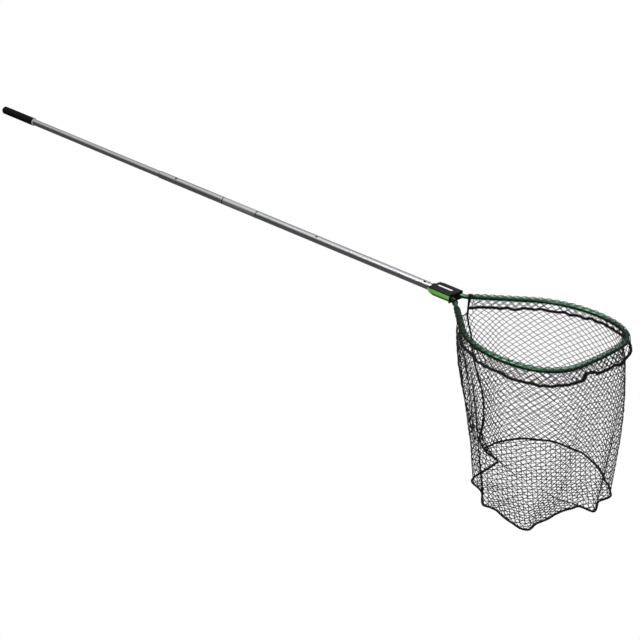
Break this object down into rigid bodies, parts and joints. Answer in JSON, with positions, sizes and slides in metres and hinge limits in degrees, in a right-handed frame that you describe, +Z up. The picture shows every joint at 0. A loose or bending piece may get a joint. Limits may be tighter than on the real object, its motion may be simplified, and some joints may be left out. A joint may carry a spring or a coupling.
{
  "type": "landing net",
  "caption": "Landing net with a telescoping tubular handle, snap-button locks, a clamshell yoke, a rounded triangular hoop and a deep flat-bottomed mesh bag.",
  "frame": {"origin": "middle of the grip on the handle's axis", "axes": "+X along the handle from the grip to the hoop, +Z up out of the hoop's plane, the bag hangs along -Z"},
  "size_m": [3.0274, 0.5952, 0.604],
  "materials": {
    "grip_rubber": "closed-cell foam rubber with a fine pebbled texture",
    "trim_ring": "smooth pale plastic",
    "rear_tube_aluminium": "satin anodised, drawn lengthwise",
    "main_tube_aluminium": "satin anodised, drawn lengthwise",
    "black_plastic": "moulded glass-filled nylon",
    "black_button": "moulded acetal",
    "spring_steel": "spring steel strip and roll pins",
    "screw_steel": "stainless socket screws",
    "label_film": "blank printed film",
    "name_plate_plastic": "blank pale plate",
    "lime_plastic": "moulded lime green nylon",
    "hoop_green": "green anodised tube",
    "net_mesh": "coated knitted netting",
    "net_cord": "braided cord",
    "mesh_stop_rubber": "soft rubber ring"
  },
  "bodies": {
    "rear_handle": {"grip_sleeve": "grip_rubber", "grip_end_cap": "grip_rubber", "grip_ring": "trim_ring", "inner_tube": "rear_tube_aluminium", "inner_tube_plug": "black_plastic", "extension_spring": "spring_steel"},
    "extension_button_body": {"extension_button": "black_button"},
    "main_handle": {"outer_tube": "main_tube_aluminium", "tube_end_ring": "black_plastic", "label_band": "label_film"},
    "head": {"stub_tube": "rear_tube_aluminium", "stub_plug": "black_plastic", "head_spring": "spring_steel", "yoke_base": "lime_plastic", "yoke_cover": "black_plastic", "yoke_collar": "black_plastic", "name_plate": "name_plate_plastic", "yoke_screw_1": "screw_steel", "yoke_screw_2": "screw_steel", "yoke_screw_3": "screw_steel", "yoke_screw_4": "screw_steel", "leg_pin_left": "spring_steel", "leg_pin_right": "spring_steel", "leg_plug_left": "black_plastic", "leg_plug_right": "black_plastic", "mesh_stop_left": "mesh_stop_rubber", "mesh_stop_right": "mesh_stop_rubber", "hoop_tube": "hoop_green", "net_wall": "net_mesh", "net_bottom": "net_mesh", "mesh_band": "net_mesh", "hem_cord": "net_cord", "bottom_cord": "net_cord", "seam_cord": "net_cord"},
    "head_button_body": {"head_button": "black_button"}
  },
  "joints": [
    {"name": "handle_slide", "type": "slide", "parent": "rear_handle", "child": "main_handle", "axis": [1, 0, 0], "range_m": [-0.733, 0], "deforming": ["extension_button", "extension_spring"]},
    {"name": "extension_press", "type": "slide", "parent": "rear_handle", "child": "extension_button_body", "axis": [0, 0.4695, -0.8829], "range_m": [0, 0.0042], "stiffness_N_per_m": 1500, "springref_m": -0.002, "deforming": ["extension_spring"]},
    {"name": "head_release", "type": "slide", "parent": "main_handle", "child": "head", "axis": [1, 0, 0], "range_m": [0, 0.08], "deforming": ["head_button", "head_spring"]},
    {"name": "head_press", "type": "slide", "parent": "head", "child": "head_button_body", "axis": [0, 0.4695, -0.8829], "range_m": [0, 0.0042], "stiffness_N_per_m": 1500, "springref_m": -0.002, "deforming": ["head_spring"]}
  ]
}
